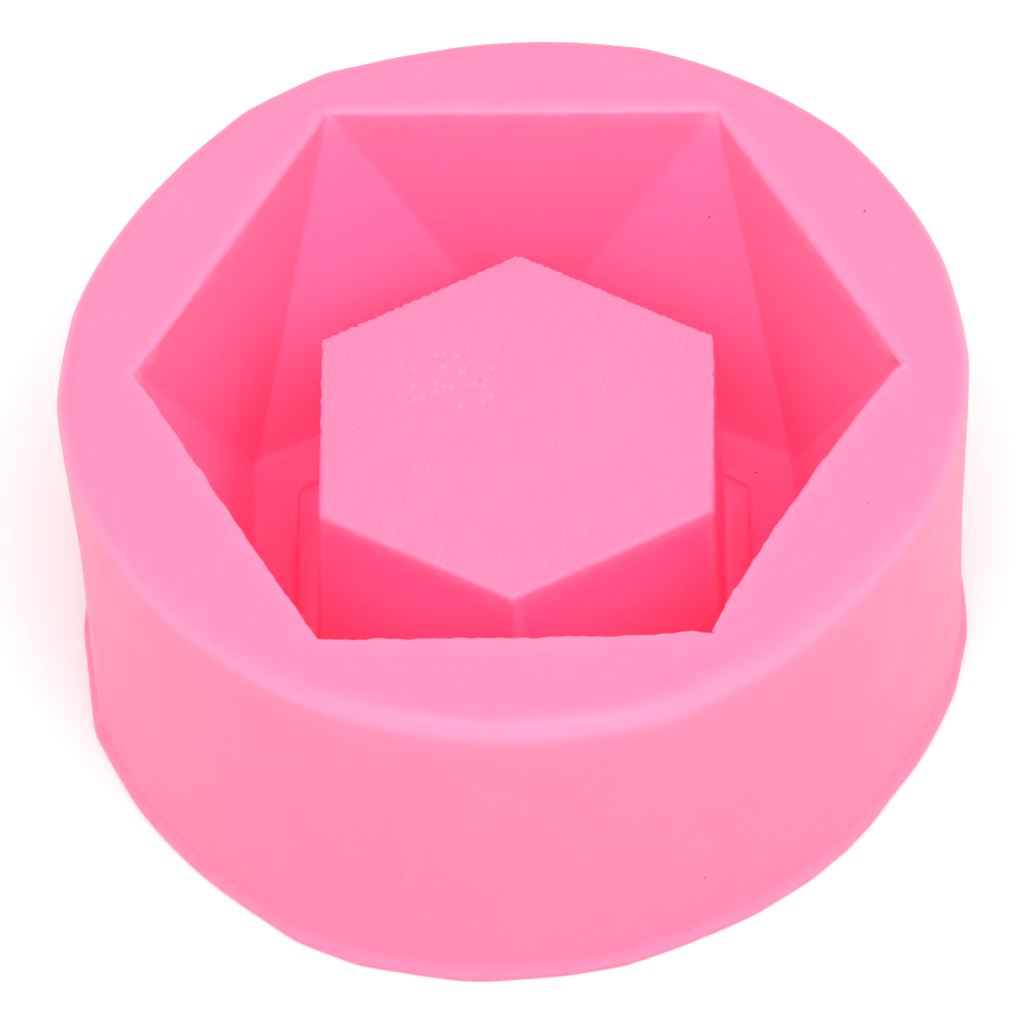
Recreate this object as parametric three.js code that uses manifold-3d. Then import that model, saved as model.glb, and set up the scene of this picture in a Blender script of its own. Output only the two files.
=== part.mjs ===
// Resin casting mould: a round block of poured silicone rubber with a facetted hexagonal cavity and a
// hexagonal core standing in the middle of it. Resin poured in round the core sets as a facetted cup.
// The rubber is described as three solids that meet face to face: the floor slab, the outer wall and the core.
// Millimetres, +Z up, origin at the centre of the underside. Two corners of the mouth lie on the X axis.
import * as THREE from 'three';
import { ConvexGeometry } from 'three/addons/geometries/ConvexGeometry.js';
import { mergeVertices } from 'three/addons/utils/BufferGeometryUtils.js';
import Module from 'manifold-3d';

const wasm = await Module();
wasm.setup();

// Outer block
const HEIGHT = 42.6;
const RIM_RADIUS = 46.7;
const WAIST_RADIUS = 45.7; // the wall's narrowest ring, just above the foot
const FOOT_RADIUS = 46.1; // the foot swells slightly where the rubber lay on the pouring board
const SHOULDER_RADIUS = 2.5; // round between the wall and the rim's top face
const FOOT_BEVEL = 0.8;
const WAIST_HEIGHT = 8.0;
const FOOT_HEIGHT = 2.2; // height of the foot's widest ring

// Cavity: distance from the axis to a corner of each hexagon, and its height above the underside
const MOUTH_CORNER = 40.0;
const BELLY_CORNER = 32.5;
const BELLY_HEIGHT = 8.2;
const LEDGE_CORNER = 27.9; // inner edge of the ledge round the bottom of the cavity
const LEDGE_HEIGHT = 7.9;
const TRENCH_CORNER = 27.3; // outer edge of the trench floor at the core's foot
const FLOOR_HEIGHT = 5.3;

// Core
const CORE_TOP_CORNER = 23.2;
const CORE_FOOT_CORNER = 24.2;
const CORE_TOP_HEIGHT = 33.4;

// Fineness of the round surfaces
const ROUND_SIDES = 96;
const SHOULDER_STEPS = 5;

const OVERCUT = 5; // how far a cutting solid stands out past the face that it opens
const SIXTH_TURN = Math.PI / 3;

function siliconeMaterial(color) {
  return new THREE.MeshStandardMaterial({ color, roughness: 0.5, metalness: 0 });
}

function solidFrom(geometry) {
  const bare = geometry.index ? geometry.clone() : geometry;
  bare.deleteAttribute('normal');
  bare.deleteAttribute('uv');
  const merged = mergeVertices(bare, 1e-4);
  const vertProperties = new Float32Array(merged.attributes.position.array);
  const triVerts = new Uint32Array(merged.index.array);
  return new wasm.Manifold(new wasm.Mesh({ numProp: 3, vertProperties, triVerts }));
}

function geometryFrom(solid) {
  const mesh = solid.getMesh();
  const geometry = new THREE.BufferGeometry();
  geometry.setAttribute('position', new THREE.BufferAttribute(mesh.vertProperties, 3));
  geometry.setIndex(new THREE.BufferAttribute(mesh.triVerts, 1));
  geometry.computeVertexNormals();
  return geometry;
}

function namedMesh(name, geometry, color) {
  const mesh = new THREE.Mesh(geometry, siliconeMaterial(color));
  mesh.name = name;
  return mesh;
}

// A body turned about the Z axis from [radius, height] points that run upwards and end on the axis.
function turned(profile) {
  const points = profile.map(([radius, height]) => new THREE.Vector2(radius, height));
  const geometry = new THREE.LatheGeometry(points, ROUND_SIDES);
  geometry.rotateX(Math.PI / 2);
  return geometry;
}

function hexagonCorners(corner, height, firstAngle) {
  const corners = [];
  for (let side = 0; side < 6; side += 1) {
    const angle = firstAngle + side * SIXTH_TURN;
    corners.push(new THREE.Vector3(corner * Math.cos(angle), corner * Math.sin(angle), height));
  }
  return corners;
}

// The convex body between two level hexagons. A twist of half a side gives a ring of twelve triangles.
function betweenHexagons(lower, upper) {
  return new ConvexGeometry([
    ...hexagonCorners(lower.corner, lower.height, lower.firstAngle),
    ...hexagonCorners(upper.corner, upper.height, upper.firstAngle),
  ]);
}

function shoulderProfile() {
  const profile = [];
  for (let step = 0; step <= SHOULDER_STEPS; step += 1) {
    const angle = (step / SHOULDER_STEPS) * (Math.PI / 2);
    profile.push([
      RIM_RADIUS - SHOULDER_RADIUS * (1 - Math.cos(angle)),
      HEIGHT - SHOULDER_RADIUS * (1 - Math.sin(angle)),
    ]);
  }
  return profile;
}

function baseFloor() {
  const geometry = turned([
    [0, 0],
    [FOOT_RADIUS - FOOT_BEVEL, 0],
    [FOOT_RADIUS, FOOT_HEIGHT],
    [footJoinRadius(), FLOOR_HEIGHT],
    [0, FLOOR_HEIGHT],
  ]);
  return namedMesh('base_floor', geometryFrom(solidFrom(geometry)), 0xff8fb4);
}

// Radius of the outside where the wall stands on the floor slab, between the foot and the waist.
function footJoinRadius() {
  const share = (FLOOR_HEIGHT - FOOT_HEIGHT) / (WAIST_HEIGHT - FOOT_HEIGHT);
  return FOOT_RADIUS + share * (WAIST_RADIUS - FOOT_RADIUS);
}

function outerWall() {
  const block = solidFrom(turned([
    [0, FLOOR_HEIGHT],
    [footJoinRadius(), FLOOR_HEIGHT],
    [WAIST_RADIUS, WAIST_HEIGHT],
    ...shoulderProfile(),
    [0, HEIGHT],
  ]));
  const ringAngle = SIXTH_TURN / 2;
  const mouth = { corner: MOUTH_CORNER, height: HEIGHT, firstAngle: 0 };
  const mouthAbove = { corner: MOUTH_CORNER, height: HEIGHT + OVERCUT, firstAngle: 0 };
  const belly = { corner: BELLY_CORNER, height: BELLY_HEIGHT, firstAngle: ringAngle };
  const ledge = { corner: LEDGE_CORNER, height: LEDGE_HEIGHT, firstAngle: ringAngle };
  const trench = { corner: TRENCH_CORNER, height: FLOOR_HEIGHT, firstAngle: ringAngle };
  const trenchBelow = { corner: TRENCH_CORNER, height: FLOOR_HEIGHT - OVERCUT, firstAngle: ringAngle };
  const levels = [[trenchBelow, trench], [trench, ledge], [ledge, belly], [belly, mouth], [mouth, mouthAbove]];
  const wall = levels.reduce(
    (rest, [lower, upper]) => rest.subtract(solidFrom(betweenHexagons(lower, upper))),
    block,
  );
  return namedMesh('outer_wall', geometryFrom(wall), 0xff8cb6);
}

function centreCore() {
  const height = CORE_TOP_HEIGHT - FLOOR_HEIGHT;
  const geometry = new THREE.CylinderGeometry(CORE_TOP_CORNER, CORE_FOOT_CORNER, height, 6, 1);
  geometry.rotateX(Math.PI / 2);
  const core = namedMesh('centre_core', geometryFrom(solidFrom(geometry)), 0xff6f9a);
  core.position.z = FLOOR_HEIGHT + height / 2;
  return core;
}

const group = new THREE.Group();
group.add(baseFloor(), outerWall(), centreCore());

export default group;
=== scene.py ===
"""Looks of a round silicone casting mould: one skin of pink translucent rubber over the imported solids."""

import math
import random

import bpy
import numpy as np
from bpy.props import FloatProperty, FloatVectorProperty, IntProperty, PointerProperty
from mathutils import Matrix, Vector, noise


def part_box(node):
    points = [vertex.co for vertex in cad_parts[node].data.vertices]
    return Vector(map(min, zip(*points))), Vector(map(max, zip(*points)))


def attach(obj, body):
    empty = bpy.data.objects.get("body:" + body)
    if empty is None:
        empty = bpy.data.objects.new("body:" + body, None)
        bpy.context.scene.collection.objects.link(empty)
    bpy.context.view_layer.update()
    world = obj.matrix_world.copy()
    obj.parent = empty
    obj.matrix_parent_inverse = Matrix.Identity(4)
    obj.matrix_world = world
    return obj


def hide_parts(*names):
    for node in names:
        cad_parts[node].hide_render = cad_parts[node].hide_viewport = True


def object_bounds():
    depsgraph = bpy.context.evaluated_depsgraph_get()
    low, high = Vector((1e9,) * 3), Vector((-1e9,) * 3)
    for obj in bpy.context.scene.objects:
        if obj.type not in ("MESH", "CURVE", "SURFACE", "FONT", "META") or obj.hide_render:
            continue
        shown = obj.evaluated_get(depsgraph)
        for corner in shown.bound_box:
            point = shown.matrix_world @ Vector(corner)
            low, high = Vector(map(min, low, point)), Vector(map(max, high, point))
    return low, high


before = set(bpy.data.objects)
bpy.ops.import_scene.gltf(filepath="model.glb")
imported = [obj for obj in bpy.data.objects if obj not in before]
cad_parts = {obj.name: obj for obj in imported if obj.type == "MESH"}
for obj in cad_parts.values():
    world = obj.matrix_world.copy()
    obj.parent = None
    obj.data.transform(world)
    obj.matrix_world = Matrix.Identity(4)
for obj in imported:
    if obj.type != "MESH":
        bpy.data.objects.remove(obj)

bl_info = {
    "name": "Silicone Casting Mould",
    "version": (1, 0, 0),
    "blender": (4, 5, 0),
    "location": "View3D > Sidebar > Mould",
    "description": "Builds the skin of a facetted silicone casting mould and a plain studio round it",
    "category": "Add Mesh",
}

MM = 0.001
CAD_LOW, CAD_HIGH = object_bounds()
FLOOR_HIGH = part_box("base_floor")[1]
WALL_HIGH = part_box("outer_wall")[1]
CORE_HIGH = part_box("centre_core")[1]
CAD_NODES = ("base_floor", "outer_wall", "centre_core")

# Middle of the patch of small air bubbles on the core's top
BUBBLE_PATCH = (-7.2 * MM, 6.3 * MM, CORE_HIGH.z)

# Columns of points round the skin. Each sixth has one facet that hangs from a mouth edge and one that stands
# on the cavity's belly, and each facet has its own columns, so that the creases run along the mesh.
SIXTHS = 6
HANGING_COLUMNS = 112
STANDING_COLUMNS = 40
COLUMNS = SIXTHS * (HANGING_COLUMNS + STANDING_COLUMNS)
CREASE_COLUMNS = 5

# The block was trimmed by hand in short runs that end in kinks: (direction in degrees anticlockwise from the
# X axis, how far the kink stands out from the true circle in millimetres).
RIM_KINKS = (
    (4, -0.3), (20, -0.05), (44, 0.3), (74, 0.0), (82, -0.6), (97, -1.1), (106, -1.05), (116, -0.25),
    (128, -0.25), (137, -0.8), (146, -0.85), (168, 0.05), (182, 0.5), (196, 0.55), (218, 0.5), (244, 0.6),
    (268, 0.5), (290, 0.4), (304, -0.6), (318, -1.3), (338, -0.9), (356, -0.45),
)
FOOT_KINKS = (
    (20, 0.1), (60, 0.2), (100, -0.3), (140, -0.2), (180, -0.2), (189, -0.35), (197, 0.35), (210, 0.2),
    (229, 0.25), (240, 1.1), (249, 1.15), (262, 0.65), (276, -0.1), (283, -0.25), (289, -0.9), (302, -1.2),
    (318, -1.35), (327, -1.65), (335, -1.45), (349, -0.55), (358, -0.05),
)
# Each long run between two kinks is cut a little flat. The allowance makes up for what the flats and the
# smoothing of the kinks take away.
FLAT_DEPTH = 0.14 * MM
LONG_RUN = math.radians(12)
KINK_SMOOTHING = 6
EDGE_ALLOWANCE = 0.12 * MM
# How far the middle of each side of the mouth leans in over the cavity, in millimetres, anticlockwise.
MOUTH_SIDE_BOWS = (0.0, 0.0, 0.1, 0.1, 0.0, 1.3)
# How far each corner of the master sat from its true place, along X and Y, in millimetres, anticlockwise.
MOUTH_CORNER_SHIFTS = ((-0.5, 0.5), (0.4, 0.25), (0.1, 0.35), (0.7, 0.0), (0.0, -0.5), (0.1, 0.0))
CORE_CORNER_SHIFTS = ((0.0, 0.5), (-0.2, 0.0), (-0.3, 0.4), (-0.4, 0.1), (-0.5, 0.5), (0.1, 0.5))


def length(name, description, default):
    """A size in metres that a user can change."""
    return FloatProperty(
        name=name, description=description, default=default, unit="LENGTH", subtype="DISTANCE"
    )


def angle(name, description, default):
    """An angle, given here in degrees, that a user can change."""
    return FloatProperty(name=name, description=description, default=math.radians(default), subtype="ANGLE")


def paint(name, description, default):
    """A colour that a user can change."""
    return FloatVectorProperty(name=name, description=description, default=default, subtype="COLOR", size=3)


def light_power(name, description, default):
    """The power of a light, in watts, that a user can change."""
    return FloatProperty(name=name, description=description, default=default, min=0, unit="POWER")


class MouldShape(bpy.types.PropertyGroup):
    """Sizes of the mould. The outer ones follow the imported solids."""

    height: length("Height", "From the underside to the rim", WALL_HIGH.z)
    rim_radius: length("Rim radius", "Outside of the block at the rim", WALL_HIGH.x)
    foot_radius: length("Foot radius", "Outside of the block at its foot", FLOOR_HIGH.x)
    bead: length("Foot bead", "How far the foot flares out from the wall above it", 0.6 * MM)
    bead_height: length("Bead height", "Height of the top of the flare", 2.9 * MM)
    shoulder: length("Shoulder round", "Round between the rim and the outside", 2.6 * MM)
    foot_round: length("Foot round", "Round between the foot and the underside", 0.8 * MM)
    rim_dish: length("Rim dish", "How far the rim sinks between the mouth and the shoulder", 0.25 * MM)
    mouth_corner: length("Mouth corner", "From the axis to a corner of the mouth", 40.0 * MM)
    belly_corner: length("Belly corner", "From the axis to a corner where the facets end", 32.5 * MM)
    belly_height: length("Belly height", "Height of the lower end of the facets", 8.2 * MM)
    ledge_corner: length("Ledge corner", "From the axis to a corner of the ledge's inner edge", 27.6 * MM)
    ledge_height: length("Ledge height", "Height of the ledge's inner edge", 7.6 * MM)
    trench_corner: length("Trench corner", "From the axis to an outer corner of the trench floor", 27.3 * MM)
    floor_height: length("Cavity floor", "Height of the trench floor", FLOOR_HIGH.z + 1.4 * MM)
    core_top_corner: length("Core top corner", "From the axis to a corner of the core's top", 23.2 * MM)
    core_foot_corner: length("Core foot corner", "From the axis to a corner of the core's foot", CORE_HIGH.y)
    core_height: length("Core height", "Height of the core's top above the underside", CORE_HIGH.z)
    lip_round: length("Lip round", "Round of the mouth's edge", 0.65 * MM)
    core_round: length("Core round", "Round of the core's top edge, which is sharper at the back", 0.5 * MM)
    crease: length("Crease", "How far each crease of the cavity is softened", 0.45 * MM)
    line_pitch: length("Print line pitch", "Distance between the master's lines on the core", 0.75 * MM)
    line_depth: length("Print line depth", "Height of those lines", 0.055 * MM)
    line_angle: angle("Print line angle", "Direction across the lines, from the X axis", -16.7)
    seed: IntProperty(name="Seed", description="Picks the pattern of trimming and wobble", default=11, min=0)


class MouldFinish(bpy.types.PropertyGroup):
    """Colours and surface of the silicone, with painted shade in the cavity, on the ledge and on the core's
    sides, and painted highlights on edges.
    """

    colour: paint("Silicone", "Colour of the rubber", (0.95, 0.146, 0.269))
    # Painted shade in the cavity: its colour darkens from high to low.
    cavity_colour: paint("Cavity", "Colour high in the cavity", (0.965, 0.155, 0.320))
    deep_shade_colour: paint("Deep cavity", "Colour low in the cavity", (0.975, 0.108, 0.280))
    # Painted shade on the ledge and the trench.
    ledge_shade_colour: paint("Ledge", "Colour of the ledge and the trench", (0.97, 0.086, 0.250))
    # Painted shade high on the core's sides, turning into painted light at their foot.
    core_shade_colour: paint("Core sides", "Colour high on the core's sides", (0.97, 0.077, 0.237))
    core_foot_glow_colour: paint("Core foot", "Colour low on the core's sides", (0.985, 0.145, 0.35))
    # Painted highlight: a paler colour laid on the lip, the shoulder, the bead, the step's back side and the
    # core's upright edges.
    highlight_colour: paint("Thin edges", "Colour of thin and rounded edges", (0.96, 0.205, 0.335))
    cloud_colour: paint("Clouding", "Colour where the pigment is a little thinner", (0.96, 0.157, 0.278))
    speck_colour: paint("Specks", "Colour of trapped dust", (0.08, 0.015, 0.02))
    bubble_colour: paint("Bubbles", "Colour over trapped air", (0.96, 0.24, 0.38))
    roughness: FloatProperty(
        name="Roughness", description="Roughness of the skin", default=0.42, min=0, max=1, subtype="FACTOR"
    )
    scatter: length("Scatter depth", "How far red light travels in the rubber", 1.2 * MM)


class MouldStudio(bpy.types.PropertyGroup):
    """Floor, light and camera."""

    floor_colour: paint("Floor", "Colour of the floor", (0.62, 0.62, 0.62))
    sky: FloatProperty(name="Sky", description="Strength of the even light all round", default=0.85, min=0)
    overhead: light_power("Overhead light", "Power of the wide light above", 15.0)
    key: light_power("Key light", "Power of the soft light in front", 57.0)
    lens: FloatProperty(name="Lens", description="Focal length", default=645.6 * MM, unit="LENGTH")
    elevation: angle("Camera height", "Angle above the floor", 50.706)
    azimuth: angle("Camera side", "Angle round from the front", 1.679)
    roll: angle("Camera roll", "Tilt", -1.79)
    distance: length("Camera distance", "From the middle of the mouth", 1.8836)


# ----------------------------------------------------------------------------------------------------
# Rings of the skin. A ring is an array of COLUMNS points, anticlockwise seen from above, in metres.


def hexagon(corner, first_angle, shifts=None):
    """Six corners on a circle, anticlockwise from first_angle."""
    angles = first_angle + np.arange(SIXTHS) * math.tau / SIXTHS
    corners = corner * np.stack([np.cos(angles), np.sin(angles)], axis=1)
    return corners if shifts is None else corners + np.array(shifts) * MM


def cut_corners(corners, cut):
    """Twelve points, two for each corner: one along the side before it and one along the side after it."""
    before = np.roll(corners, 1, axis=0) - corners
    after = np.roll(corners, -1, axis=0) - corners
    before *= cut / np.linalg.norm(before, axis=1, keepdims=True)
    after *= cut / np.linalg.norm(after, axis=1, keepdims=True)
    return np.stack([corners + before, corners + after], axis=1).reshape(-1, 2)


def belly_points(corners, cut):
    """The same for a hexagon turned on by half a side, as the belly's and the core's are."""
    return np.roll(cut_corners(corners, cut), 1, axis=0)


def bend_point(before, corner, after, share):
    """A point on the smooth bend that replaces a corner."""
    return (1 - share) ** 2 * before + 2 * share * (1 - share) * corner + share**2 * after


def crease_ring(points, bend):
    """A ring through twelve crease ends, with each crease softened and its own columns on every facet."""
    ahead = np.roll(points, -1, axis=0) - points
    sides = np.linalg.norm(ahead, axis=1)
    ways = ahead / sides[:, None]
    bends = np.minimum(bend, 0.48 * np.minimum(sides, np.roll(sides, 1)))
    ring = []
    for k in range(len(points)):
        last = (k + 1) % len(points)
        columns = STANDING_COLUMNS if k % 2 == 0 else HANGING_COLUMNS
        start, end = points[k] + ways[k] * bends[k], points[last] - ways[k] * bends[last]
        for step in range(CREASE_COLUMNS):
            share = 0.5 + 0.5 * step / CREASE_COLUMNS
            ring.append(bend_point(points[k] - ways[k - 1] * bends[k], points[k], start, share))
        straight = columns - 2 * CREASE_COLUMNS
        ring.extend(start + (end - start) * step / straight for step in range(straight))
        for step in range(CREASE_COLUMNS):
            share = 0.5 * step / CREASE_COLUMNS
            ring.append(bend_point(end, points[last], points[last] + ways[last] * bends[last], share))
    return np.array(ring)


def even_ring(points, bend):
    """The same outline with its points evenly spaced, still starting in step with the other rings."""
    ring = crease_ring(points, bend)
    steps = np.linalg.norm(np.roll(ring, -1, axis=0) - ring, axis=1)
    along = np.concatenate([[0.0], np.cumsum(steps)])
    closed = np.vstack([ring, ring[:1]])
    middle = along[STANDING_COLUMNS // 2]
    wanted = (middle + (np.arange(COLUMNS) - STANDING_COLUMNS / 2) / COLUMNS * along[-1]) % along[-1]
    return np.stack([np.interp(wanted, along, closed[:, axis]) for axis in (0, 1)], axis=1)


def round_angles():
    """The angle of each column on a round ring."""
    return (np.arange(COLUMNS) - STANDING_COLUMNS / 2) / COLUMNS * math.tau


def out_of_round(angles, kinks):
    """How far the block's edge stands out of its true circle. Each run between two kinks is a little flat."""
    ways = np.radians([way for way, _ in kinks])
    stands = np.array([stand for _, stand in kinks]) * MM
    ways = np.concatenate([ways[-1:] - math.tau, ways, ways[:1] + math.tau])
    stands = np.concatenate([stands[-1:], stands, stands[:1]])
    angles = angles % math.tau
    run = np.searchsorted(ways, angles, side="right") - 1
    span = ways[run + 1] - ways[run]
    share = (angles - ways[run]) / span
    flat = FLAT_DEPTH * np.minimum(1, span / LONG_RUN) * 4 * share * (1 - share)
    edge = stands[run] * (1 - share) + stands[run + 1] * share - flat
    for _ in range(KINK_SMOOTHING):
        edge = (np.roll(edge, 1) + 2 * edge + np.roll(edge, -1)) / 4
    return edge + EDGE_ALLOWANCE


def lift(ring, height):
    """A flat ring raised to one height, or to a height for each column."""
    return np.column_stack([ring, np.broadcast_to(height, len(ring))])


def smooth_noise(points, scale, seed):
    """Smooth noise between about -1 and 1 at each point. scale is the size of its features."""
    shift = Vector((seed * 3.1, seed * 1.7, seed * 2.3))
    return np.array([noise.noise(Vector(p) / scale + shift) for p in points])


class Skin:
    """Collects the rings of the skin from the inside out, with marks for the finish on every point.

    moulded_and_shade is 0 on open surfaces, 1 in the cavity and 2 on the core's sides; it marks the moulded
    surfaces and picks painted shade for them. painted_highlight is highest on edges, where a paler highlight
    is painted, and ledge is 1 on the ledge at the bottom of the cavity, where painted shade darkens it.
    """

    def __init__(self):
        self.rings = []
        self.marks = {"moulded_and_shade": [], "painted_highlight": [], "ledge": []}

    def add(self, ring, moulded_and_shade, painted_highlight=0.0, ledge=0.0):
        """Adds a ring outside the last one. A mark is one number, or one for each column."""
        self.rings.append(ring)
        for name, mark in (("moulded_and_shade", moulded_and_shade), ("painted_highlight", painted_highlight), ("ledge", ledge)):
            self.marks[name].append(np.broadcast_to(mark, COLUMNS))


def print_height(across, shape):
    """Height left by the master's printed lines at a distance across them."""
    return shape.line_depth * (np.abs(np.cos(math.pi * across / shape.line_pitch)) - 0.6)


def core_outline(corner, inset, bend):
    """The core's hexagon, drawn in by inset on every side."""
    true = corner - inset / math.cos(math.pi / SIXTHS)
    corners = hexagon(true, math.pi / SIXTHS, CORE_CORNER_SHIFTS)
    return even_ring(belly_points(corners, bend), bend)


def core_rings(skin, shape):
    """The core from its top edge down to the trench floor."""
    cut, foot_round = 0.2 * MM, 0.3 * MM
    burr, burr_size = 0.16, 0.6 * MM
    # The moulded_and_shade mark climbs to edge_mark over the rounded edge, dimming it with painted shade, and
    # then by 1 for each fade down the sides, into the painted shade of the core's sides.
    edge_mark, fade = 0.55, 1.6 * MM
    round_steps, side_steps, foot_steps = 4, 8, 3
    across = np.array([math.cos(shape.line_angle), math.sin(shape.line_angle)])
    flare = (shape.core_foot_corner - shape.core_top_corner) / (shape.core_height - shape.floor_height)
    edge = core_outline(shape.core_top_corner, 0, cut)
    inside = core_outline(shape.core_top_corner, shape.core_round, cut)
    outward = edge / np.linalg.norm(edge, axis=1, keepdims=True)
    # The edge is soft at the front. At the back it is sharp, and ragged where the printed lines end.
    softness = np.clip(0.6 - 1.6 * edge[:, 1] / shape.core_top_corner, 0.3, 1.3)
    rough = np.clip(0.8 + 0.9 * edge[:, 1] / shape.core_top_corner, 0.2, 1.0)
    ends = 0.5 - np.abs(np.cos(math.pi * (edge @ across) / shape.line_pitch))
    ragged = (burr * ends + burr * smooth_noise(lift(edge, 0.0), burr_size, shape.seed + 6)) * MM * rough
    for step in range(round_steps + 1):
        turn = step / round_steps * math.pi / 2
        share = (softness * (1 - math.sin(turn)))[:, None]
        ring = edge * (1 - share) + inside * share + outward * (ragged * math.sin(turn + 0.4))[:, None]
        height = shape.core_height - shape.core_round * softness * (1 - math.cos(turn))
        skin.add(lift(ring, height), edge_mark * step / round_steps)
    top, foot = shape.core_height - shape.core_round, shape.floor_height + foot_round
    for step in range(1, side_steps + 1):
        height = top + (foot - top) * (step / side_steps) ** 1.5
        corner = shape.core_top_corner + flare * (shape.core_height - height)
        drop = (shape.core_height - height) / fade
        ring = core_outline(corner, 0, 2 * cut)
        # Painted highlight along the core's upright edges.
        skin.add(lift(ring, height), min(2.0, edge_mark + drop), 0.5 * corner_ridge(ring))
    for step in range(1, foot_steps + 1):
        turn = step / foot_steps * math.pi / 2
        inset = -foot_round * (1 - math.cos(turn))
        height = foot - foot_round * math.sin(turn)
        skin.add(lift(core_outline(shape.core_foot_corner, inset, 2 * cut), height), 2.0)


def corner_ridge(ring):
    """1 along the core's upright edges, where a paler highlight is painted, and 0 away from them."""
    width = 0.5 * MM
    turn = np.arctan2(ring[:, 1], ring[:, 0]) * SIXTHS / math.tau - 0.5
    away = np.abs(turn - np.round(turn)) * math.tau / SIXTHS * np.linalg.norm(ring, axis=1)
    return np.exp(-((away / width) ** 2))


def trench_rings(skin, shape):
    """The trench at the core's foot, the step up from it and the ledge out to the facets."""
    cut, soft, hollow = 0.45 * MM, 0.4 * MM, 0.45 * MM
    steps = 4

    def outline(corner):
        """The hexagon with this corner, as a ring."""
        return even_ring(belly_points(hexagon(corner, math.pi / SIXTHS), cut), cut)

    slope = (shape.ledge_corner - shape.trench_corner) / (shape.ledge_height - shape.floor_height)
    for step in range(steps):
        turn = step / (steps - 1) * math.pi / 2
        corner = shape.trench_corner - hollow * (1 - math.sin(turn))
        # The trench floor gets most of the ledge's painted shade.
        skin.add(lift(outline(corner), shape.floor_height + hollow * (1 - math.cos(turn))), 1.0, 0.0, 0.8)
    for step in range(steps + 1):
        turn = step / steps * math.pi / 2
        height = shape.ledge_height - soft * (1 - math.sin(turn))
        corner = shape.trench_corner + slope * (height - shape.floor_height) + soft * (1 - math.cos(turn))
        ring = outline(corner)
        # The step's back side gets a painted highlight, and the ledge's painted shade grows up the step.
        at_back = np.clip(ring[:, 1] / shape.trench_corner * 3, 0, 1)
        skin.add(lift(ring, height), 1.0, 0.7 * at_back * (1 - step / steps), step / steps)


def facet_rings(skin, shape):
    """The twelve facets, from the belly up to the mouth, and the rounded lip."""
    cut, ledge_bend = 0.2 * MM, 0.9 * MM
    fade = 4 * MM
    first = 0.02
    rows, lip_steps, foot_steps = 16, 6, 3
    belly = belly_points(hexagon(shape.belly_corner, math.pi / SIXTHS), cut)
    mouth = cut_corners(hexagon(shape.mouth_corner, 0.0, MOUTH_CORNER_SHIFTS), cut)
    ledge_end = belly_points(hexagon(shape.belly_corner - ledge_bend, math.pi / SIXTHS), cut)
    start = crease_ring(belly + (mouth - belly) * first, shape.crease)
    start_height = shape.belly_height + (shape.height - shape.belly_height) * first
    end = crease_ring(ledge_end, shape.crease)
    corner = crease_ring(belly, shape.crease)
    for step in range(foot_steps):
        share = step / foot_steps
        ring = bend_point(end, corner, start, share)
        height = bend_point(shape.belly_height - 0.05 * MM, shape.belly_height, start_height, share)
        # The ledge's painted shade fades out where the ledge bends up into the facets.
        skin.add(lift(ring, height), 1.0, 0.0, 1 - share)
    lip_start = 1 - shape.lip_round / (shape.height - shape.belly_height)
    for row in range(rows + 1):
        share = first + (lip_start - first) * row / rows
        height = shape.belly_height + (shape.height - shape.belly_height) * share
        # The cavity's painted shade fades in over fade below the mouth.
        drop = (shape.height - height) / fade
        ring = lean_in(crease_ring(belly + (mouth - belly) * share, shape.crease), share)
        skin.add(lift(ring, height), min(1.0, drop))
    lip = lean_in(crease_ring(mouth, shape.crease), 1.0)
    outward = lip / np.linalg.norm(lip, axis=1, keepdims=True)
    burr = lip_burr(lip, shape)
    towards_back = (lip[:, 1] + 0.5 * lip[:, 0]) / shape.mouth_corner
    width = shape.lip_round * np.clip(0.95 + 0.55 * towards_back, 0.6, 1.5)
    for step in range(1, lip_steps + 1):
        turn = step / lip_steps * math.pi / 2
        ring = lip + outward * (width * (1 - math.cos(turn)))[:, None]
        height = shape.height - shape.lip_round * (1 - math.sin(turn))
        # The lip gets a painted highlight, and a little of the cavity's painted shade on its inner side.
        inner = 0.35 * (1 - step / lip_steps)
        ring = ring - outward * (burr * math.cos(turn * 0.8))[:, None]
        skin.add(lift(ring, height + burr * 0.4 * math.sin(turn)), inner, 0.42)


def lean_in(ring, share):
    """The ring with the middle of its long facets pushed in over the cavity, most at the mouth."""
    moved = ring.copy()
    along = (np.arange(HANGING_COLUMNS) + 0.5) / HANGING_COLUMNS
    swell = (4 * along * (1 - along)) ** 0.65 * share**2
    for side, bow in enumerate(MOUTH_SIDE_BOWS):
        first = side * (STANDING_COLUMNS + HANGING_COLUMNS) + STANDING_COLUMNS
        way = (side + 0.5) * math.tau / SIXTHS
        inward = -np.array([math.cos(way), math.sin(way)])
        moved[first : first + HANGING_COLUMNS] += inward * (bow * MM * swell)[:, None]
    return moved


def lip_burr(lip, shape):
    """Small ragged flash along the mouth's edge, strongest at the front."""
    ragged_size, coarse_size = 0.8 * MM, 3.0 * MM
    # One tab of flash was left on the front edge, near the right corner.
    tab_place, tab_width, tab_height = 18.0 * MM, 1.0 * MM, 0.45 * MM
    ragged = smooth_noise(lift(lip, 0.0), ragged_size, shape.seed)
    coarse = smooth_noise(lift(lip, 0.0), coarse_size, shape.seed + 1)
    front = np.clip(0.55 - lip[:, 1] / shape.mouth_corner, 0.15, 1.0)
    front_side = lip[:, 1] < -0.75 * shape.mouth_corner
    tab = np.exp(-(((lip[:, 0] - tab_place) / tab_width) ** 2)) * front_side
    return (0.20 * ragged + 0.26 * coarse) * MM * front + tab_height * tab


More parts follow.
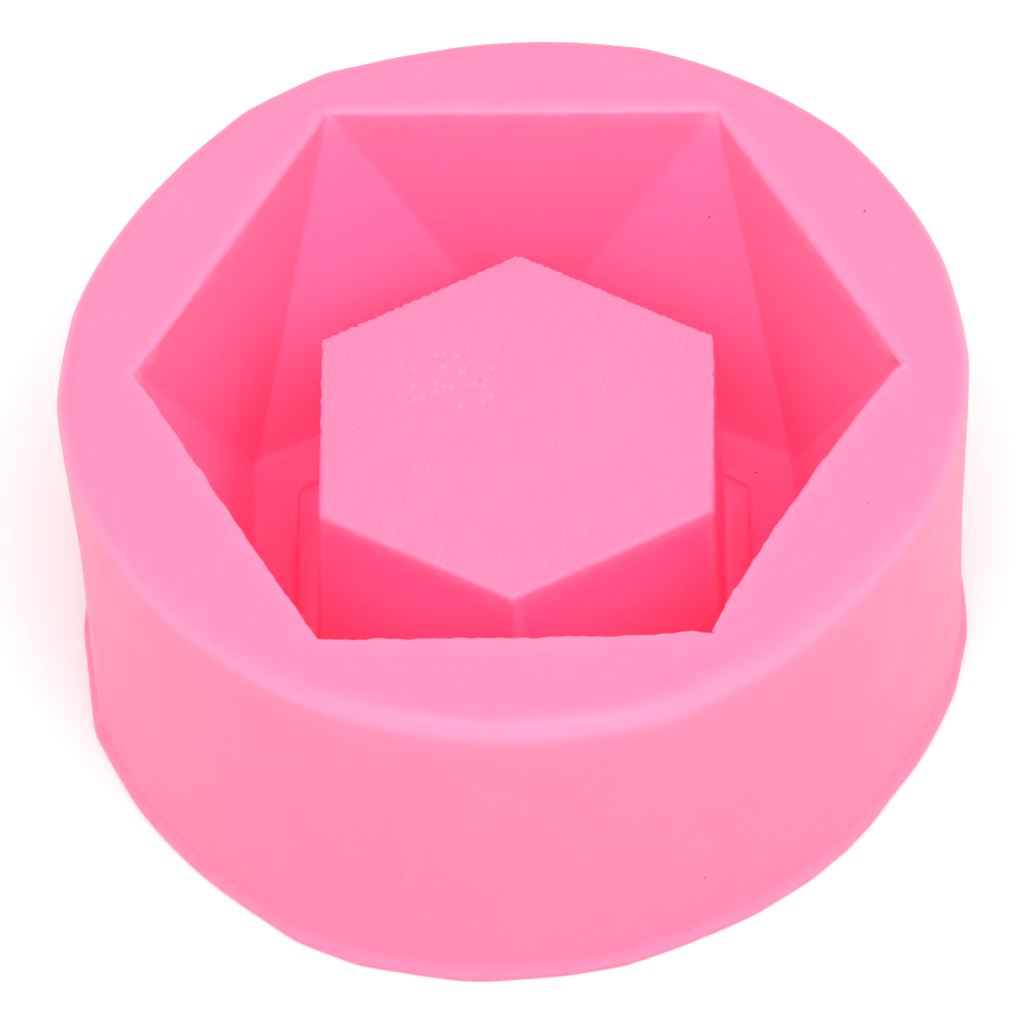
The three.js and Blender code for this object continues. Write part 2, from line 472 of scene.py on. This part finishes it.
def rim_rings(skin, shape):
    """The rim, which turns from the mouth's hexagon into the block's circle, and its rounded shoulder."""
    angles = round_angles()
    ways = np.stack([np.cos(angles), np.sin(angles)], axis=1)
    outside = shape.rim_radius + out_of_round(angles, RIM_KINKS)
    inner = skin.rings[-1]
    outer = ways * (outside - shape.shoulder)[:, None]
    rows, shoulder_steps = 10, 9
    # A highlight is painted on the shoulder, brightest two thirds of the way round, towards the outside.
    highlight_most, highlight_turn, highlight_spread = 1.45, 1.12, 0.42
    for row in range(1, rows):
        share = row / rows
        ring = inner[:, :2] * (1 - share) + outer * share
        dish = shape.rim_dish * math.sin(math.pi * share) ** 1.5
        settle = (inner[:, 2] - shape.height) * (1 - share) ** 4
        # The lip's painted highlight runs a short way onto the rim.
        skin.add(lift(ring, shape.height + settle - dish), 0.0, 0.35 * max(0.0, 1 - 5 * share))
    for step in range(shoulder_steps + 1):
        turn = step / shoulder_steps * math.pi / 2
        radius = outside - shape.shoulder * (1 - math.sin(turn))
        height = shape.height - shape.shoulder * (1 - math.cos(turn))
        painted_highlight = highlight_most * math.exp(-(((turn - highlight_turn) / highlight_spread) ** 2))
        skin.add(lift(ways * radius[:, None], height), 0.0, painted_highlight)


def trimmed_edge(angles, shape):
    """The foot's edge as a blade left it: short straight cuts of uneven length and depth."""
    # The cuts are in radians round the block. How far they stand in or out is in millimetres.
    shortest, longest, last = 0.06, 0.15, 0.14
    deepest, proudest = -0.12, 0.10
    chance = random.Random(shape.seed)
    knots, offsets = [0.0], [0.0]
    while knots[-1] < math.tau - last:
        knots.append(knots[-1] + chance.uniform(shortest, longest))
        offsets.append(chance.uniform(deepest, proudest) * MM)
    knots[-1], offsets[-1] = math.tau, 0.0
    return np.interp(angles % math.tau, knots, offsets)


def outside_rings(skin, shape):
    """The outer wall down to the foot, its flared bead, and the underside in to the middle."""
    angles = round_angles()
    ways = np.stack([np.cos(angles), np.sin(angles)], axis=1)
    rim = shape.rim_radius + out_of_round(angles, RIM_KINKS)
    foot = shape.foot_radius + out_of_round(angles, FOOT_KINKS)
    trim = trimmed_edge(angles, shape)
    bead = shape.bead * (1 + 0.35 * smooth_noise(lift(ways, 0.0), 0.35, shape.seed + 5))
    top = shape.height - shape.shoulder
    low = shape.foot_round
    knee, waist = 5.0 * MM, 0.25 * MM
    rows, foot_rows, round_steps, under_rows = 14, 12, 5, 3
    heights = [top + (knee - top) * row / rows for row in range(1, rows + 1)]
    heights += [knee + (low - knee) * row / foot_rows for row in range(1, foot_rows + 1)]

    def flare(height):
        """How much of the foot's flare shows at a height: all of it at the foot, none above the bead."""
        climb = min(1.0, max(0.0, (height - shape.foot_round) / (shape.bead_height - shape.foot_round)))
        return 1 - climb * climb * (3 - 2 * climb)

    def wall_radius(height):
        """Radius of the outer wall at a height, for each column."""
        share = (max(height, shape.bead_height) - shape.bead_height) / (top - shape.bead_height)
        shrink = waist * math.sin(math.pi * min(1, share)) ** 2
        return (foot - bead) * (1 - share) + rim * share - shrink + flare(height) * (bead + trim)

    for height in heights:
        # The flared bead gets a painted highlight.
        skin.add(lift(ways * wall_radius(height)[:, None], height), 0.0, 0.9 * flare(height))
    edge = wall_radius(low)
    for step in range(1, round_steps + 1):
        turn = step / round_steps * math.pi / 2
        radius = edge - shape.foot_round * (1 - math.cos(turn))
        skin.add(lift(ways * radius[:, None], low - shape.foot_round * math.sin(turn)), 0.0)
    for row in range(1, under_rows):
        skin.add(lift(ways * ((edge - shape.foot_round) * (1 - row / under_rows))[:, None], 0.0), 0.0)


# ----------------------------------------------------------------------------------------------------
# The core's top face: long thin quads that run along the master's printed lines.


def top_face(outline, shape):
    """Points and faces that fill a flat outline, and the indices of the points on its edge, anticlockwise."""
    across = np.array([math.cos(shape.line_angle), math.sin(shape.line_angle)])
    along = np.array([-across[1], across[0]])
    v, u = outline @ across, outline @ along
    per_line, rows = 8, 9
    columns = int(round((v.max() - v.min()) / shape.line_pitch * per_line))
    spread = np.linspace(v.min(), v.max(), columns + 1)[1:-1]
    first, last = int(np.argmin(v)), int(np.argmax(v))
    low_side = np.roll(np.arange(len(v)), -first)
    low_side = low_side[: (last - first) % len(v) + 1]
    high_side = np.roll(np.arange(len(v)), -last)
    high_side = high_side[: (first - last) % len(v) + 1][::-1]
    lows = np.interp(spread, v[low_side], u[low_side])
    highs = np.interp(spread, v[high_side], u[high_side])
    points = []
    for place, low, high in zip(spread, lows, highs):
        for row in range(rows + 1):
            points.append(across * place + along * (low + (high - low) * row / rows))
    points = np.array(points)
    ends = np.stack([outline[first], outline[last]])
    count = rows + 1
    faces = []
    for column in range(len(spread) - 1):
        for row in range(rows):
            corner = column * count + row
            faces.append((corner, corner + count, corner + count + 1, corner + 1))
    start, end = len(points), len(points) + 1
    faces += [(start, row, row + 1) for row in range(rows)]
    tail = (len(spread) - 1) * count
    faces += [(end, tail + row + 1, tail + row) for row in range(rows)]
    edge = [start] + [column * count for column in range(len(spread))]
    edge += [end] + [column * count + rows for column in reversed(range(len(spread)))]
    points = np.vstack([points, ends])
    height = shape.core_height + print_height(points @ across, shape)
    height += 0.02 * MM * smooth_noise(lift(points, 0.0), 6 * MM, shape.seed + 8)
    return lift(points, height), faces, edge


def stitch(points, inner, outer):
    """Triangles between two closed loops of point indices that both run anticlockwise round the axis."""
    def turned(loop):
        """The loop, started next to the X axis, and the angle of each of its points."""
        angles = np.unwrap(np.arctan2(points[loop, 1], points[loop, 0]))
        start = int(np.argmin(angles % math.tau))
        loop = list(loop[start:]) + list(loop[:start])
        angles = np.unwrap(np.arctan2(points[loop, 1], points[loop, 0]))
        return loop, angles - math.tau * math.floor(angles[0] / math.tau)

    (inner, inner_angles), (outer, outer_angles) = turned(inner), turned(outer)
    faces = []
    i = o = 0
    while i < len(inner) or o < len(outer):
        next_inner = inner_angles[i + 1] if i + 1 < len(inner) else inner_angles[0] + math.tau
        next_outer = outer_angles[o + 1] if o + 1 < len(outer) else outer_angles[0] + math.tau
        here, there = inner[i % len(inner)], outer[o % len(outer)]
        if o < len(outer) and (i >= len(inner) or next_outer <= next_inner):
            faces.append((here, there, outer[(o + 1) % len(outer)]))
            o += 1
        else:
            faces.append((here, there, inner[(i + 1) % len(inner)]))
            i += 1
    return faces


def ring_faces(count, first):
    """Quads between count rings of points that start at index first, facing outwards."""
    faces = []
    for ring in range(count - 1):
        base = first + ring * COLUMNS
        for column in range(COLUMNS):
            after = (column + 1) % COLUMNS
            faces.append((base + column, base + COLUMNS + column, base + COLUMNS + after, base + after))
    return faces


def skin_mesh(shape):
    """The whole skin as one closed mesh."""
    skin = Skin()
    core_rings(skin, shape)
    trench_rings(skin, shape)
    facet_rings(skin, shape)
    rim_rings(skin, shape)
    outside_rings(skin, shape)
    inset = 0.12 * MM
    inner_edge = skin.rings[0][:, :2] * (1 - inset / shape.core_top_corner)
    face_points, faces, edge = top_face(inner_edge, shape)
    first = len(face_points)
    middle = np.array([[0.0, 0.0, 0.0]])
    points = np.vstack([face_points, *skin.rings, middle])
    faces += stitch(points, edge, list(range(first, first + COLUMNS)))
    faces += ring_faces(len(skin.rings), first)
    last_ring = first + (len(skin.rings) - 1) * COLUMNS
    hub = len(points) - 1
    faces += [(last_ring + (c + 1) % COLUMNS, last_ring + c, hub) for c in range(COLUMNS)]
    mesh = bpy.data.meshes.new("silicone_body")
    mesh.from_pydata(points.tolist(), [], faces)
    mesh.validate()
    marks = {name: np.concatenate([np.zeros(first), *mark, [0.0]]) for name, mark in skin.marks.items()}
    marks["core_top"] = np.concatenate([np.ones(first), np.zeros(len(points) - first)])
    for name, values in marks.items():
        mesh.attributes.new(name, "FLOAT", "POINT").data.foreach_set("value", values.astype(np.float32))
    mesh.update()
    return mesh


def wobble(mesh, shape):
    """Moves the skin in and out a little, as cast rubber never copies its box exactly."""
    # The depths are in millimetres. Moulded surfaces are steadied, because the master held them.
    broad_size, fine_size = 16 * MM, 5 * MM
    broad_depth, fine_depth = 0.10, 0.03
    steadied = 0.75
    count = len(mesh.vertices)
    points = np.zeros(count * 3)
    mesh.vertices.foreach_get("co", points)
    points = points.reshape(-1, 3)
    normals = np.zeros(count * 3, np.float32)
    mesh.vertex_normals.foreach_get("vector", normals)
    normals = normals.reshape(-1, 3)
    marks = np.zeros(count, np.float32)
    mesh.attributes["moulded_and_shade"].data.foreach_get("value", marks)
    broad = smooth_noise(points, broad_size, shape.seed + 2)
    fine = smooth_noise(points, fine_size, shape.seed + 3)
    amount = (broad_depth * broad + fine_depth * fine) * (1 - steadied * np.clip(marks, 0, 1)) * MM
    on_ground = points[:, 2] < 0.02 * MM
    amount[on_ground] = 0
    points += normals * amount[:, None]
    points[:, 2] = np.maximum(points[:, 2], 0)
    mesh.vertices.foreach_set("co", points.ravel())
    mesh.update()


# ----------------------------------------------------------------------------------------------------
# Materials


class Nodes:
    """A short way to write a material's nodes."""

    def __init__(self, name):
        self.material = bpy.data.materials.new(name)
        self.material.use_nodes = True
        self.tree = self.material.node_tree
        self.tree.nodes.clear()

    def add(self, kind, settings=None, **inputs):
        """Adds a node. Each input is named as its socket is, with _ for a space."""
        node = self.tree.nodes.new(kind)
        for key, value in (settings or {}).items():
            setattr(node, key, value)
        for key, value in inputs.items():
            self.join(value, node.inputs[key.replace("_", " ")])
        return node

    def join(self, value, socket):
        """Links a node's output to a socket, or sets a plain value on it."""
        if isinstance(value, bpy.types.NodeSocket):
            self.tree.links.new(value, socket)
        else:
            socket.default_value = value

    def mark(self, name):
        """One of the marks that the skin's points carry."""
        return self.add("ShaderNodeAttribute", {"attribute_name": name}).outputs["Fac"]

    def math(self, operation, *values, clamp=False):
        """The result of a maths node."""
        node = self.tree.nodes.new("ShaderNodeMath")
        node.operation = operation
        node.use_clamp = clamp
        for value, socket in zip(values, node.inputs):
            self.join(value, socket)
        return node.outputs[0]

    def mix(self, share, first, second):
        """A colour that goes from first to second as share goes from 0 to 1."""
        node = self.tree.nodes.new("ShaderNodeMix")
        node.data_type = "RGBA"
        self.join(share, node.inputs["Factor"])
        self.join(first, node.inputs[6])
        self.join(second, node.inputs[7])
        return node.outputs[2]

    def noise(self, vector, scale, detail=2.0, roughness=0.5):
        """Cloudy noise between 0 and 1. scale is in features to the metre."""
        node = self.add("ShaderNodeTexNoise", Vector=vector, Scale=scale, Detail=detail, Roughness=roughness)
        return node.outputs["Fac"]

    def bump(self, height, distance, strength, normal=None):
        """A normal raised by height, on top of the one given."""
        node = self.add("ShaderNodeBump", Height=height, Distance=distance, Strength=strength)
        if normal is not None:
            self.join(normal, node.inputs["Normal"])
        return node.outputs["Normal"]


def opaque(colour):
    """A colour with the alpha that a colour socket needs."""
    return (*colour, 1.0)


def dots(nodes, place, cell, radius, share):
    """Soft round dots in a share of the cells of a scattered grid: 1 in a dot's middle and 0 outside it."""
    cells = nodes.add("ShaderNodeTexVoronoi", {"feature": "F1"}, Vector=place, Scale=1 / cell, Randomness=1.0)
    near = nodes.math("LESS_THAN", cells.outputs["Distance"], radius / cell)
    soft = nodes.math("SUBTRACT", 1.0, nodes.math("DIVIDE", cells.outputs["Distance"], radius / cell))
    colour = nodes.add("ShaderNodeSeparateColor", Color=cells.outputs["Color"])
    chosen = nodes.math("LESS_THAN", colour.outputs[0], share)
    return nodes.math("MULTIPLY", nodes.math("MULTIPLY", near, soft), chosen)


def silicone(finish):
    """Pink translucent silicone rubber, with print marks where it was cast against the master."""
    cloud_size, patch_size, swell_size, grain_size = 14 * MM, 5 * MM, 3.5 * MM, 0.35 * MM
    cavity_depth, bubble_reach, layer_pitch = 34 * MM, 9 * MM, 0.5 * MM
    swell_depth, grain_depth, layer_depth, bubble_depth = 0.06 * MM, 0.012 * MM, 0.012 * MM, 0.05 * MM
    nodes = Nodes("pink_silicone")
    place = nodes.add("ShaderNodeTexCoord").outputs["Object"]
    moulded_and_shade, core_top, painted_highlight, ledge = (nodes.mark(name) for name in ("moulded_and_shade", "core_top", "painted_highlight", "ledge"))
    height = nodes.add("ShaderNodeSeparateXYZ", Vector=place).outputs["Z"]

    clouds = nodes.noise(place, 1 / cloud_size, 4.0, 0.55)
    colour = nodes.mix(clouds, opaque(finish.colour), opaque(finish.cloud_colour))
    # Painted shade in the cavity, darkening towards its floor.
    walls = nodes.math("ADD", moulded_and_shade, 0.0, clamp=True)
    core_sides = nodes.math("SUBTRACT", moulded_and_shade, 1.0, clamp=True)
    depth = nodes.math("DIVIDE", nodes.math("SUBTRACT", CAD_HIGH.z, height), cavity_depth, clamp=True)
    cavity = nodes.mix(depth, opaque(finish.cavity_colour), opaque(finish.deep_shade_colour))
    colour = nodes.mix(walls, colour, cavity)
    # Painted shade high on the core's sides, with painted light at their foot.
    core = nodes.mix(depth, opaque(finish.core_shade_colour), opaque(finish.core_foot_glow_colour))
    colour = nodes.mix(core_sides, colour, core)
    # Painted shade on the ledge and the trench.
    colour = nodes.mix(ledge, colour, opaque(finish.ledge_shade_colour))
    # Painted highlights on edges, the shoulder, the lip and the bead.
    colour = nodes.mix(nodes.math("MULTIPLY", painted_highlight, 0.7), colour, opaque(finish.highlight_colour))
    bubbles = dots(nodes, place, 1.0 * MM, 0.45 * MM, 0.6)
    offset = nodes.add("ShaderNodeVectorMath", {"operation": "SUBTRACT"})
    nodes.join(place, offset.inputs[0])
    nodes.join(BUBBLE_PATCH, offset.inputs[1])
    spread = nodes.add("ShaderNodeVectorMath", {"operation": "LENGTH"})
    nodes.join(offset.outputs["Vector"], spread.inputs[0])
    ragged_edge = nodes.math("MULTIPLY_ADD", clouds, bubble_reach, spread.outputs["Value"])
    gathered = nodes.math("MULTIPLY", bubbles, nodes.math("LESS_THAN", ragged_edge, bubble_reach))
    gathered = nodes.math("MULTIPLY", gathered, core_top)
    paler = nodes.math("MULTIPLY", gathered, 0.9, clamp=True)
    colour = nodes.mix(paler, colour, opaque(finish.bubble_colour))
    specks = dots(nodes, place, 7.0 * MM, 0.17 * MM, 0.9)
    darker = nodes.math("MULTIPLY", specks, 2.5, clamp=True)
    colour = nodes.mix(darker, colour, opaque(finish.speck_colour))

    patches = nodes.noise(place, 1 / patch_size, 3.0)
    roughness = nodes.math("MULTIPLY_ADD", patches, 0.14, finish.roughness - 0.07)
    roughness = nodes.math("MULTIPLY_ADD", walls, 0.05, roughness)

    layer_wave = nodes.math("SINE", nodes.math("MULTIPLY", height, math.tau / layer_pitch))
    layer_mark = nodes.math("MULTIPLY", nodes.math("MULTIPLY", layer_wave, patches), walls)
    grain = nodes.noise(place, 1 / grain_size, 3.0, 0.6)
    swell = nodes.noise(place, 1 / swell_size, 2.0)
    normal = nodes.bump(swell, swell_depth, 0.6)
    normal = nodes.bump(grain, grain_depth, 0.7, normal)
    normal = nodes.bump(layer_mark, layer_depth, 0.6, normal)
    normal = nodes.bump(gathered, bubble_depth, 0.6, normal)

    shader = nodes.add(
        "ShaderNodeBsdfPrincipled",
        Base_Color=colour,
        Roughness=roughness,
        IOR=1.41,
        Normal=normal,
    )
    shader.subsurface_method = "RANDOM_WALK"
    shader.inputs["Subsurface Weight"].default_value = 1.0
    shader.inputs["Subsurface Radius"].default_value = (1.0, 0.28, 0.36)
    shader.inputs["Subsurface Scale"].default_value = finish.scatter
    shader.inputs["Specular IOR Level"].default_value = 0.4
    output = nodes.add("ShaderNodeOutputMaterial")
    nodes.join(shader.outputs["BSDF"], output.inputs["Surface"])
    return nodes.material


def floor_paint(studio):
    """Matt pale floor with a very faint mottle."""
    nodes = Nodes("pale_floor")
    place = nodes.add("ShaderNodeTexCoord").outputs["Object"]
    mottle = nodes.noise(place, 18.0, 3.0)
    pale = opaque(studio.floor_colour)
    colour = nodes.mix(mottle, pale, opaque([0.99 * c for c in studio.floor_colour]))
    shader = nodes.add("ShaderNodeBsdfPrincipled", Base_Color=colour, Roughness=0.9)
    output = nodes.add("ShaderNodeOutputMaterial")
    nodes.join(shader.outputs["BSDF"], output.inputs["Surface"])
    return nodes.material


# ----------------------------------------------------------------------------------------------------
# Operators


class MOULD_OT_silicone_body(bpy.types.Operator):
    """Builds the silicone body as one skin that stands for the floor, the wall and the core"""

    bl_idname = "mould.silicone_body"
    bl_label = "Silicone body"

    def execute(self, context):
        shape = context.scene.mould_shape
        mesh = skin_mesh(shape)
        wobble(mesh, shape)
        for polygon in mesh.polygons:
            polygon.use_smooth = True
        body = bpy.data.objects.new("silicone_body", mesh)
        context.scene.collection.objects.link(body)
        mesh.materials.append(silicone(context.scene.mould_finish))
        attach(body, "root")
        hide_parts(*CAD_NODES)
        return {"FINISHED"}


class MOULD_OT_studio(bpy.types.Operator):
    """Lays a plain pale floor, sets soft even light and places the camera"""

    bl_idname = "mould.studio"
    bl_label = "Studio"

    def execute(self, context):
        studio = context.scene.mould_studio
        self.floor(context, studio)
        self.light(context, studio)
        self.camera(context, studio)
        context.scene.view_settings.view_transform = "Standard"
        context.scene.cycles.use_denoising = True
        context.scene.cycles.diffuse_bounces = 9
        context.scene.cycles.max_bounces = 12
        return {"FINISHED"}

    def floor(self, context, studio):
        """A floor wide enough to fill the view."""
        mesh = bpy.data.meshes.new("floor")
        side = 6.0
        corners = [(-side, -side, 0), (side, -side, 0), (side, side, 0), (-side, side, 0)]
        mesh.from_pydata(corners, [], [(0, 1, 2, 3)])
        mesh.materials.append(floor_paint(studio))
        floor = bpy.data.objects.new("floor", mesh)
        context.scene.collection.objects.link(floor)

    def light(self, context, studio):
        """An even white sky and two softboxes, one wide above and one in front."""
        world = bpy.data.worlds.new("even_sky")
        world.use_nodes = True
        sky = world.node_tree.nodes["Background"]
        sky.inputs["Color"].default_value = (1, 1, 1, 1)
        sky.inputs["Strength"].default_value = studio.sky
        context.scene.world = world
        self.softbox(context, "overhead", studio.overhead, (2.6, 2.6), (0, 0.1, 1.5))
        self.softbox(context, "key", studio.key, (2.4, 1.1), (0.15, -1.05, 1.65))

    def softbox(self, context, name, power, size, place):
        """A soft rectangular light at place, aimed at the mould. Its power is in watts."""
        lamp = bpy.data.lights.new(name, "AREA")
        lamp.shape = "RECTANGLE"
        lamp.size, lamp.size_y = size
        lamp.energy = power
        softbox = bpy.data.objects.new(name, lamp)
        softbox.location = place
        aim = Vector((0, 0, 0.03)) - softbox.location
        softbox.rotation_euler = aim.to_track_quat("-Z", "Y").to_euler()
        softbox.visible_camera = False
        context.scene.collection.objects.link(softbox)

    def camera(self, context, studio):
        """A long lens, aimed a little below the middle of the mouth and tilted by the roll."""
        data = bpy.data.cameras.new("camera")
        data.sensor_width = 36.0
        data.lens = studio.lens / MM
        data.clip_start, data.clip_end = 0.1, 20.0
        camera = bpy.data.objects.new("camera", data)
        side, rise = studio.azimuth, studio.elevation
        back = Vector((math.sin(side) * math.cos(rise), -math.cos(side) * math.cos(rise), math.sin(rise)))
        right = Vector((math.cos(side), math.sin(side), 0))
        up = back.cross(right)
        middle = Vector((0, 0, CAD_HIGH.z))
        aside, above = -0.96 * MM, -14.48 * MM
        camera.location = middle + back * studio.distance + right * aside + up * above
        turned_right = right * math.cos(studio.roll) + up * math.sin(studio.roll)
        turned_up = up * math.cos(studio.roll) - right * math.sin(studio.roll)
        turn = Matrix((turned_right, turned_up, back)).transposed()
        camera.rotation_euler = turn.to_euler()
        context.scene.collection.objects.link(camera)
        context.scene.camera = camera


class MOULD_PT_panel(bpy.types.Panel):
    """Lists the mould's sizes, finish and operators"""

    bl_idname = "MOULD_PT_panel"
    bl_label = "Silicone Mould"
    bl_space_type = "VIEW_3D"
    bl_region_type = "UI"
    bl_category = "Mould"

    def draw(self, context):
        for operator in OPERATORS:
            self.layout.operator(operator.bl_idname)
        for group in (context.scene.mould_shape, context.scene.mould_finish, context.scene.mould_studio):
            box = self.layout.box()
            for name in group.__annotations__:
                box.prop(group, name)


OPERATORS = (MOULD_OT_silicone_body, MOULD_OT_studio)
GROUPS = {"mould_shape": MouldShape, "mould_finish": MouldFinish, "mould_studio": MouldStudio}


def register():
    """Registers the classes, and gives every scene the mould's three groups of values."""
    for item in (*GROUPS.values(), *OPERATORS, MOULD_PT_panel):
        bpy.utils.register_class(item)
    for name, group in GROUPS.items():
        setattr(bpy.types.Scene, name, PointerProperty(type=group))


def unregister():
    """Takes away what register adds."""
    for name in GROUPS:
        delattr(bpy.types.Scene, name)
    for item in reversed((*GROUPS.values(), *OPERATORS, MOULD_PT_panel)):
        bpy.utils.unregister_class(item)


def main():
    """Builds the mould and its studio."""
    register()
    bpy.ops.mould.silicone_body()
    bpy.ops.mould.studio()


if __name__ == "__main__":
    main()
